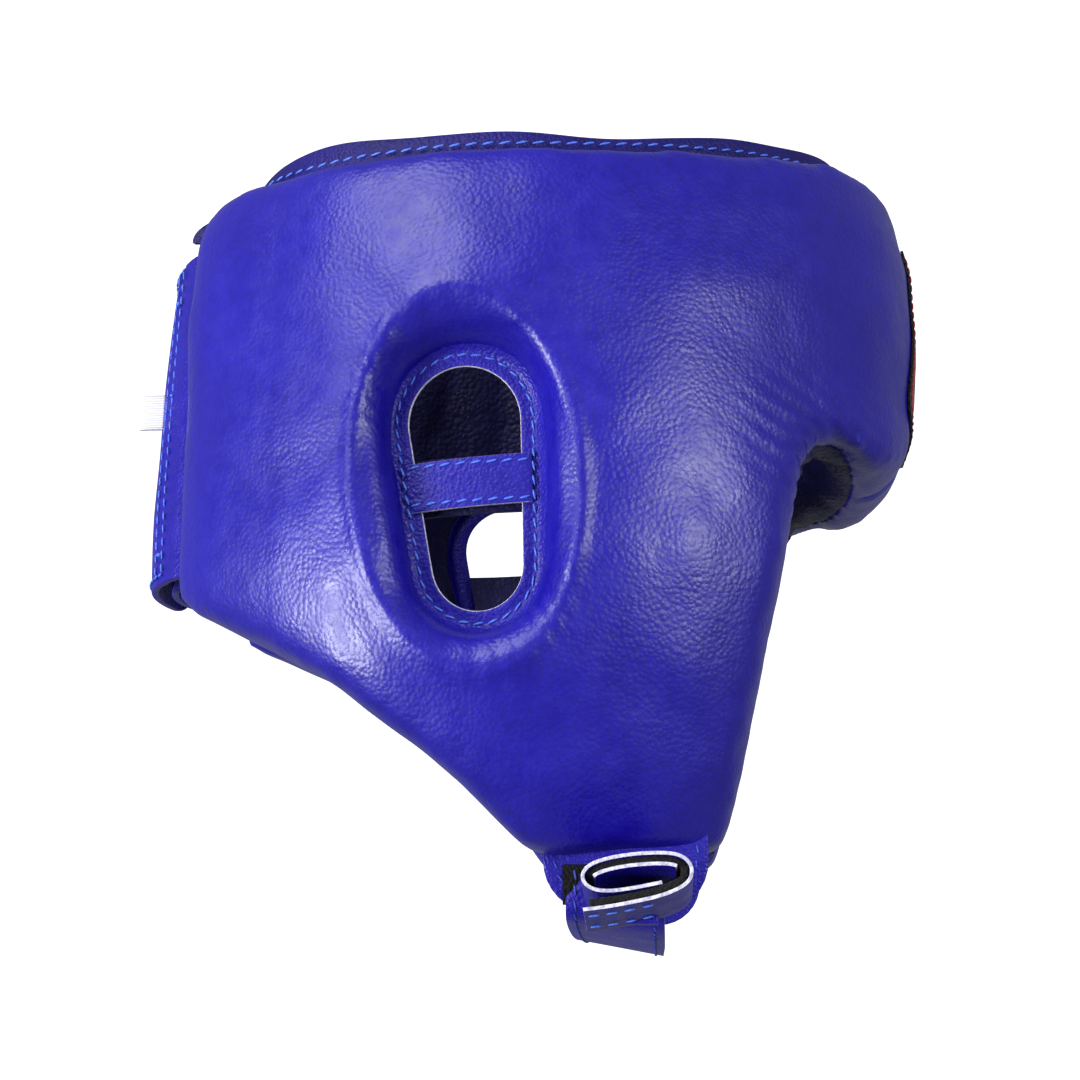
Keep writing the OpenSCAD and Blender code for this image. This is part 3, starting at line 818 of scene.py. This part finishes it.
# ---- Forehead shield --------------------------------------------------------------------
# A black leather shield sewn on the forehead, with a red band inset near its edge. It is
# laid on the finished padding, so it follows the seam under it.
SHIELD = [(14.2, 93), (27, 41), (25.8, 37.5), (23, 35.6), (3, 27), (0, 26), (-3, 27),
          (-23, 35.6), (-25.8, 37.5), (-27, 41), (-14.2, 93), (-12.5, 95), (12.5, 95)]
SHIELD_T = 0.0009
patch_black = leather("black_grain_leather", "#08080a", "#0e0e12", "#17171b", grain=1.0,
                      rough=(0.36, 0.5), relief=0.4, shine=0.3)
patch_red = leather("red_grain_leather", "#8c0d14", "#ab141c", "#bd2027", grain=1.0,
                    rough=(0.36, 0.5), relief=0.4, shine=0.3)


def on_brow(py, pz, above):
    """The place above the outside of the forehead at y, z mm."""
    hit = core_tree.ray_cast(Vector((0.2, py / 1000, pz / 1000)), Vector((-1, 0, 0)))
    return hit[0] + Vector((above, 0, 0))


def shrunk(outline, by):
    """A convex outline with each corner moved towards the middle line, by mm."""
    centre = Vector((0, 62))
    points = []
    for u, v in outline:
        away = Vector((u, v)) - centre
        points.append(tuple(centre + away * (1 - by / away.length)))
    return points


def shield_part(name, outer, inner, finish):
    """The part of the shield between two outlines (inner may be None), laid on the brow."""
    bm = bmesh.new()
    bmesh.ops.create_grid(bm, x_segments=46, y_segments=58, size=0.5)
    for v in bm.verts:
        v.co = Vector((v.co.x * 60, 60 + v.co.y * 76, 0))
    cut_to(bm, outer, 1e-4)
    if inner:
        sides, turn = cut_to(bm, inner, 1e-4, drop_outside=False)
        drop = []
        for f in bm.faces:
            c = f.calc_center_median()
            if all(((b[0] - a[0]) * (c.y - a[1]) - (b[1] - a[1]) * (c.x - a[0])) * turn > 0
                   for a, b in sides):
                drop.append(f)
        bmesh.ops.delete(bm, geom=drop, context="FACES")
    bmesh.ops.remove_doubles(bm, verts=bm.verts, dist=0.06)
    for v in bm.verts:
        v.co = on_brow(v.co.x, v.co.y, 0.0002)
    bm.normal_update()
    bm.faces.ensure_lookup_table()
    if bm.faces[0].normal.x < 0:
        bmesh.ops.reverse_faces(bm, faces=bm.faces)
    return walls(built(name, bm), SHIELD_T, (finish,), 0.0003, 1.0)


for name, outer, inner, finish, node, slot in (
    ("black_shield_border", 0, 4.5, patch_black, "forehead_patch", "patch_black"),
    ("red_shield_band", 4.7, 11.0, patch_red, "forehead_patch_band", "patch_red"),
    ("black_shield_middle", 11.2, None, patch_black, "forehead_patch", "patch_black"),
):
    piece = shield_part(name, shrunk(SHIELD, outer), inner and shrunk(SHIELD, inner), finish)
    stands_for(piece, "shell", node, slot)
shield_seam = shrunk(SHIELD, 2.2)
stitches("shield_stitches", "shell",
         [[(on_brow(u, v, 0.0011), (1, 0, 0))
           for u, v in even_steps(shield_seam + shield_seam[:1], 160)]],
         length=0.0024, pitch=0.0034, radius=0.0003, yarn=patch_red)

# ---- Rear flaps -------------------------------------------------------------------------
# Two unpadded wings of doubled leather close the back, one over the other, with hook and
# loop between. They follow one arc; each is sewn into the rear end of the padding.
FLAP_R, FLAP_X = 0.05349, -0.0575
FLAP_T, PAD_T = 0.0024, 0.0015
INNER_R = FLAP_R - FLAP_T - 2 * PAD_T - 0.0009
ROOT_U, FLAP_LOW, FLAP_HIGH = 58.0, -15.0, 89.0
GROOVE_DEPTH = 0.0007


def hook_material(name, pile):
    """Hook-and-loop tape: black nylon, hooks or loops about pile mm apart, their raised tops
    painted a little lighter as a painted glint.
    """
    # The ramp paints the raised hook and loop tops lighter than the hollows between them: a painted
    # glint.
    material = fine_grained(name, "TexVoronoi", [(0.1, "#0e0e10"), (0.55, "#050506")], 1.0, 0.0006,
                            0.8, sunk=True, Scale=1000 / pile)
    shader = material.node_tree.nodes["Principled BSDF"]
    shader.inputs["Specular IOR Level"].default_value = 0.2
    shader.inputs["Sheen Weight"].default_value = 0.1
    return material


hook_tape = hook_material("black_nylon_hook_tape", 1.1)
loop_tape = hook_material("black_nylon_loop_tape", 0.8)


def rounded(corners, radius, steps=6):
    """A convex outline with each corner that has a radius rounded off."""
    points = []
    for i, corner in enumerate(corners):
        before, after = Vector(corners[i - 1]), Vector(corners[(i + 1) % len(corners)])
        here = Vector(corner)
        r = radius[i]
        if r == 0:
            points.append(tuple(here))
            continue
        d0, d1 = (before - here).normalized(), (after - here).normalized()
        half = d0.angle(d1) / 2
        back = r / math.tan(half)
        start, end = here + d0 * back, here + d1 * back
        centre = here + (d0 + d1).normalized() * r / math.sin(half)
        a0 = start - centre
        sweep = a0.angle_signed(end - centre)
        for k in range(steps + 1):
            turn = -sweep * k / steps
            points.append(tuple(centre + Vector((a0.x * math.cos(turn) - a0.y * math.sin(turn),
                                                  a0.x * math.sin(turn) + a0.y * math.cos(turn)))))
    return points


def wing_lean(a, v):
    """How far forward the closed wings lean, more at the top, nothing at their roots."""
    return (0.0012 + 0.0048 * share(v, 10, 88) ** 1.3) * max(0, math.cos(a * 1.35))


def arc_grid(name, u_ends, v_ends, corner, radius, thickness, finish, grooves=(), wave=0.0):
    """A sheet on the flaps' arc; u is the angle's arc length in mm from the middle."""
    outline = rounded([(u_ends[0], v_ends[0]), (u_ends[1], v_ends[0]),
                       (u_ends[1], v_ends[1]), (u_ends[0], v_ends[1])], corner)

    def place(u, v):
        a = u / 1000 / radius
        r = radius
        for groove in grooves:
            r -= GROOVE_DEPTH * ridge(u, groove, 1)
        r += wave / 1000 * noise.noise(Vector((u * 0.03, v * 0.03, radius * 90)))
        return Vector((FLAP_X - r * math.cos(a) + wing_lean(a, v), r * math.sin(a), v / 1000))

    return flat_piece(name, outline, 1.6, place, thickness, (finish,))


outer_wing = arc_grid("rear_wing_outer", (-ROOT_U, 24), (FLAP_LOW, FLAP_HIGH), [4, 9, 9, 3],
                      FLAP_R, FLAP_T, strap_leather, grooves=(-30, -44), wave=0.9)
stands_for(outer_wing, "flap_outer", "rear_flap_outer", "outer_leather")
inner_wing = arc_grid("rear_wing_inner", (-24, ROOT_U), (FLAP_LOW, FLAP_HIGH), [9, 4, 3, 9],
                      INNER_R, FLAP_T, strap_leather, wave=0.6)
stands_for(inner_wing, "flap_inner", "rear_flap_inner", "outer_leather")
dress(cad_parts["chin_loop_pad"], loop_tape)
for name, node, body, radius, tape in (
    ("rear_hook_tape", "rear_hook_pad", "flap_outer", FLAP_R - FLAP_T - 0.0001, hook_tape),
    ("rear_loop_tape", "rear_loop_pad", "flap_inner", INNER_R + PAD_T + 0.0001, loop_tape),
):
    closure = arc_grid(name, (-18.5, 18.5), (-4, 79), [3, 3, 3, 3], radius, PAD_T, tape)
    stands_for(closure, body, node, "hook_and_loop")


def on_wing(u, v, radius, above=0.0):
    """The place above a wing at u, v mm on its arc, and the way outwards there."""
    a = u / 1000 / radius
    away = Vector((-math.cos(a), math.sin(a), 0))
    return Vector((FLAP_X + wing_lean(a, v), 0, v / 1000)) + away * (radius + above), away


def wing_row(start, end, radius):
    """A row for stitches on the outside of a wing between two (u, v) places in mm."""
    return [on_wing(u, v, radius, 0.0002) for u, v in even_steps([start, end], 24)]


SEAM_LOW, SEAM_HIGH = FLAP_LOW + 2.5, FLAP_HIGH - 2
stitches("rear_wing_stitches_outer", "flap_outer", [
    wing_row(start, end, FLAP_R) for start, end in (
        ((-34, SEAM_HIGH), (20, SEAM_HIGH)), ((-34, SEAM_LOW), (20, SEAM_LOW)),
        ((21.5, -8), (21.5, 82)), ((-33, SEAM_LOW), (-33, SEAM_HIGH)),
        ((-26.5, SEAM_LOW), (-26.5, SEAM_HIGH)), ((18, -8), (18, 82)))])
stitches("rear_wing_stitches_inner", "flap_inner",
         [wing_row((26, v), (50, v), INNER_R) for v in (SEAM_HIGH, SEAM_LOW)])

# Knots and loose ends of the light blue thread that tacks the wing to the padding.
bm = bmesh.new()
for u, v, size, tail in ((-30.6, 76, 1.0, 4.5), (-27, 60, 0.6, 0), (-33, 45, 0.7, 0),
                         (-28, 41, 0.5, 6.0), (-31, -6, 0.9, 3.0)):
    spot, away = on_wing(u, v, FLAP_R, 0.0005)
    knot = bmesh.ops.create_icosphere(bm, subdivisions=2, radius=size / 1000)["verts"]
    for w in knot:
        w.co = spot + Vector((w.co.x, w.co.y, w.co.z * 0.8))
    if tail:
        made = bmesh.ops.create_uvsphere(bm, u_segments=6, v_segments=9, radius=1)["verts"]
        for w in made:
            t = (w.co.z + 1) / 2
            w.co = (spot + away * (0.0003 + w.co.x * 0.0002)
                    + Vector((w.co.y * 0.0002, tail / 1000 * t * 0.9,
                              tail / 1000 * (0.25 * math.sin(3 * t) + w.co.x * 0.05))))
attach(dress(built("tacking_knots", bm), thread), "flap_outer")

# ---- Size label -------------------------------------------------------------------------
# A white woven tape folded double and sewn in the outer wing; it carries no lettering.
# Woven polyester satin: white, with fine warp ribs 0.4 mm apart.
TAG_T, TAG_U, TAG_V, TAG_END = 0.0003, -19.6, 43, 0.1125
woven_label = fine_grained("white_woven_label", "TexWave", [(0.2, "#b2b2b6"), (0.8, "#d2d2d6")],
                           0.4, 0.0001, 0.6, settings={"bands_direction": "Z"}, Scale=390.0,
                           Distortion=0.5)
bm = bmesh.new()
bmesh.ops.create_grid(bm, x_segments=24, y_segments=8, size=0.5)
root = on_wing(TAG_U, TAG_V, FLAP_R)[0].x + 0.0008
for v in bm.verts:
    leg, t = 2 * v.co.x, v.co.y + 0.5
    out = 1 - leg * leg
    reach = root + TAG_END - 0.0004 * t * t
    v.co = Vector((root - reach * out,
                   -0.0195 + 0.0006 * math.sin(leg * 2) + 0.0006 * out * math.sin(3 * t),
                   0.0372 + 0.0116 * t))
tag = walls(built("folded_size_tag", bm), TAG_T, (woven_label,), 0, offset=0)
stands_for(tag, "flap_outer", "size_label", "label_cloth")

# ---- Chin tabs and chin strap -----------------------------------------------------------
# A flat U of leather hangs below each cheek. The strap is sewn to the left one, sags under
# the chin and lies over the loop pad on the right one, where its spare end is rolled up.
TAB_X, TAB_Y, TAB_T, TAB_FOOT, TAB_W = 42.0, 61.0, 0.0024, -116.0, 46.0
TAB_TOP, TAB_CORNER, TAB_BEND = -90, 14, -92
STRAP_X, STRAP_W, STRAP_T, STRAP_SEAM_IN = 39.0, 27.0, 0.0024, 0.0026
dress(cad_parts["strap_anchor"], strap_leather)


def smooth_line(points, rounds=3):
    """The same line with its corners cut off, keeping both ends."""
    line = [Vector(p) for p in points]
    for _ in range(rounds):
        cut = [line[0]]
        for a, b in zip(line, line[1:]):
            cut += [a.lerp(b, 0.25), a.lerp(b, 0.75)]
        line = cut + [line[-1]]
    return line


def strip(name, line, widths, thickness, finishes):
    """A strip of leather along a line; widths(t) gives its two edges as offsets in metres."""
    last = len(line) - 1
    bm = bmesh.new()
    bmesh.ops.create_grid(bm, x_segments=last, y_segments=10, size=0.5)
    for v in bm.verts:
        i = round((v.co.x + 0.5) * last)
        a, b = widths(i / last)
        v.co = line[i] + a.lerp(b, v.co.y + 0.5)
    return give_walls(built(name, bm), thickness, finishes, 0.0004, 0)


for side_name, side in (("right", -1), ("left", 1)):
    u_shape = rounded([(TAB_X - TAB_W / 2, TAB_TOP), (TAB_X - TAB_W / 2, TAB_FOOT),
                       (TAB_X + TAB_W / 2, TAB_FOOT), (TAB_X + TAB_W / 2, TAB_TOP)],
                      [0, TAB_CORNER, TAB_CORNER, 0], 8)

    def on_tab(u, v):
        """A tab hangs nearly flat, curling in a little towards its foot."""
        curl = 0.0009 * (max(0, TAB_BEND - v) / 24) ** 2
        return Vector((u / 1000, side * (TAB_Y / 1000 + TAB_T / 2 - curl), v / 1000))

    tab = flat_piece("chin_tab_leather_" + side_name, u_shape, 1.6, on_tab, TAB_T,
                     (strap_leather,))
    stands_for(tab, "shell", "chin_tab_" + side_name, "outer_leather")
    inner = [(TAB_X + (u - TAB_X) * 0.87, TAB_FOOT + 2.8 + (v - TAB_FOOT) * 0.94)
             for u, v in u_shape]
    stitches("chin_tab_stitches_" + side_name, "shell",
             [[(on_tab(u, v), Vector((0, side, 0))) for u, v in even_steps(inner, 60)]],
             radius=0.0003, yarn=deep_thread)

# The strap: 27 mm wide, sewn up the left tab, sagging and a little twisted under the chin.
strap_run = smooth_line([(0, 64.2, -113.4), (0, 64.2, -118), (0, 58, -121.4), (0, 40, -124.2),
                         (0, 15, -125.8), (0, -15, -125.8), (0, -40, -124.2), (0, -58, -121.4),
                         (0, -64.6, -118), (0, -64.8, -112), (0, -64.8, -104)])
strap_run = [Vector((STRAP_X, p.y, p.z)) / 1000 for p in strap_run]


def strap_edges(t):
    """Both edges of the strap; its rear edge is pulled up where it hangs free."""
    free = math.sin(math.pi * share(t, 0.08, 0.88))
    half = STRAP_W / 2000
    narrow = 0.0055 * share(t, 0.86, 0.94)
    return Vector((-half + narrow, 0, 0.0052 * free)), Vector((half, 0, 0))


strap = strip("sagging_chin_strap", strap_run, strap_edges, STRAP_T, (strap_leather,))
stands_for(strap, "strap", "chin_strap", "outer_leather")


def line_ahead(line, i):
    """The direction of a line at one of its points."""
    return (line[min(i + 1, len(line) - 1)] - line[max(i - 1, 0)]).normalized()


rows = []
for share_across in (STRAP_SEAM_IN * 1000 / STRAP_W, 1 - STRAP_SEAM_IN * 1000 / STRAP_W):
    row = []
    for i, p in enumerate(strap_run):
        ahead = line_ahead(strap_run, i)
        down = Vector((0, ahead.z, -ahead.y))
        # The outside of the strap looks down under the chin and sideways on the tabs.
        outside = -down.z if abs(p.y) < 0.05 else down.y * p.y
        if outside < 0:
            down = -down
        a, b = strap_edges(i / (len(strap_run) - 1))
        row.append((p + Vector(((share_across - 0.5) * STRAP_W / 1000, 0,
                                a.lerp(b, share_across).z)) + down * (STRAP_T / 2 + 0.0001), down))
    rows.append(row)
stitches("chin_strap_stitches", "strap", rows, radius=0.0003, yarn=deep_thread)

# Its spare end, rolled up beside the right tab: two turns, leather outside and hook tape in.
ROLL_Y0, ROLL_Y1, ROLL_DROP, ROLL_T, TAPE_T = -0.071, -0.0975, 0.0045, 0.0010, 0.0017
roll_line = smooth_line([(31.5, 0, -116.6), (37, 0, -116.0), (45, 0, -114.6), (53, 0, -112.8),
                         (59.2, 0, -109.8), (60.0, 0, -105.4), (56.6, 0, -102.3), (49, 0, -102.0),
                         (40, 0, -102.9), (33, 0, -104.9), (30.9, 0, -108.0), (32.6, 0, -110.9),
                         (37, 0, -112.0), (44, 0, -111.2), (52, 0, -109.6)], 3)
roll_line = [p / 1000 for p in roll_line]


def roll_edges(t):
    """The roll's far end, which hangs lower, and its near end, which is cut a little askew."""
    return Vector((0, ROLL_Y0, -ROLL_DROP)), Vector((0, ROLL_Y1 + 0.0015 * t, 0))


roll = strip("rolled_strap_end", roll_line, roll_edges, ROLL_T, (strap_leather, raw_edge))
stands_for(roll, "strap", "strap_end_roll", "outer_leather")
tape_line, inner_line = [], []
for i, p in enumerate(roll_line):
    ahead = line_ahead(roll_line, i)
    inward = Vector((-ahead.z, 0, ahead.x))
    tape_line.append(p + inward * 0.0016)
    inner_line.append(p + inward * 0.0028)


def tape_edges(t):
    """The tape stops just short of the leather's cut edge."""
    return (Vector((0, ROLL_Y0 - 0.0006, -ROLL_DROP)),
            Vector((0, ROLL_Y1 + 0.0007 + 0.0015 * t, 0)))


tape = strip("rolled_hook_tape", tape_line[6:82], tape_edges, TAPE_T, (hook_tape,))
stands_for(tape, "strap", "strap_hook_tape", "hook_and_loop")
inner_turn = strip("rolled_inner_turn", inner_line[50:80], roll_edges, ROLL_T,
                   (strap_leather, raw_edge))
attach(inner_turn, "strap")


def tongue_edges(t):
    """A tongue 14 mm wide joins the roll to the strap."""
    return Vector((-0.007, 0, 0)), Vector((0.007, 0, 0))


lug = strip("roll_joining_tongue",
            [Vector((44, y, z)) / 1000
             for y, z in ((-64, -115.2), (-66.5, -117), (-69, -118.6), (-71.5, -118.9),
                          (-75, -118.4))],
            tongue_edges, 0.0020, (strap_leather,))
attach(lug, "strap")
rows = []
for y in (-0.0785, -0.0925):
    drop = ROLL_DROP * (y - ROLL_Y1) / (ROLL_Y0 - ROLL_Y1)
    rows.append([(p + Vector((0, y, -0.0008 - drop)), Vector((0, 0, -1))) for p in roll_line[2:26]])
stitches("roll_stitches", "strap", rows, radius=0.0003)

# ---- Studio -----------------------------------------------------------------------------
# A pale floor and a white dome, which glow but light nothing, a soft grey light from all
# round, and three soft boxes: low on the left, high on the left, and a weaker one at right.
FLOOR_Z, FLOOR_R, DOME_R = -0.30, 30, 29
scene = bpy.context.scene


def studio_material(name, glow):
    """Matt white photographic paper, with a little light of its own."""
    material, tree, shader = new_material(name)
    place = add(tree, "TexCoord").outputs["Object"]
    mottle = add(tree, "TexNoise", i0=place, Scale=3.0, Detail=2.0)
    tree.links.new(ramp(tree, mottle.outputs[0], [(0.3, "#f4f4f4"), (0.7, "#f8f8f8")]),
                   shader.inputs["Base Color"])
    shader.inputs["Roughness"].default_value = 0.9
    shader.inputs["Emission Color"].default_value = linear("#ffffff")
    shader.inputs["Emission Strength"].default_value = glow
    return material


bm = bmesh.new()
bmesh.ops.create_circle(bm, cap_ends=True, segments=64, radius=FLOOR_R)
bmesh.ops.translate(bm, verts=bm.verts, vec=(0, 0, FLOOR_Z))
floor = dress(built("paper_floor", bm), studio_material("matt_white_paper", 0.8))
bm = bmesh.new()
bmesh.ops.create_uvsphere(bm, u_segments=48, v_segments=24, radius=DOME_R)
bmesh.ops.reverse_faces(bm, faces=bm.faces)
dome = dress(built("white_dome", bm), studio_material("lit_white_paper", 1.0))
for obj in (floor, dome):
    obj.visible_diffuse = obj.visible_glossy = obj.visible_shadow = False


def soft_light(name, place, aim, size, power):
    """A square soft box."""
    light = bpy.data.lights.new(name, "AREA")
    light.shape = "SQUARE"
    light.size = size
    light.energy = power
    obj = bpy.data.objects.new(name, light)
    scene.collection.objects.link(obj)
    obj.location = place
    obj.rotation_euler = (Vector(aim) - Vector(place)).to_track_quat("-Z", "Y").to_euler()
    return obj


soft_light("left_softbox", (-1.1, -0.85, -0.25), (-0.02, 0, 0), 0.4, 24)
soft_light("upper_softbox", (-0.7, -1.1, 1.0), (0, 0, 0.02), 0.9, 20)
soft_light("right_softbox", (0.95, -1.0, 0.12), (0.03, 0, -0.02), 0.4, 10)
world = bpy.data.worlds.new("white_room")
world.use_nodes = True
world.node_tree.nodes["Background"].inputs[0].default_value = linear("#ffffff")
world.node_tree.nodes["Background"].inputs[1].default_value = 0.34
scene.world = world
scene.view_settings.view_transform = "Standard"

camera = bpy.data.objects.new("camera", bpy.data.cameras.new("camera"))
scene.collection.objects.link(camera)
camera.data.lens = 64.2
camera.data.sensor_width = 36
camera.location = (0.0513, -0.603, -0.1355)
turn, rise = math.radians(3.5), math.radians(-13)
back = Vector((math.sin(turn) * math.cos(rise), -math.cos(turn) * math.cos(rise), math.sin(rise)))
camera.rotation_mode = "QUATERNION"
camera.rotation_quaternion = (-back).to_track_quat("-Z", "Y")
scene.camera = camera
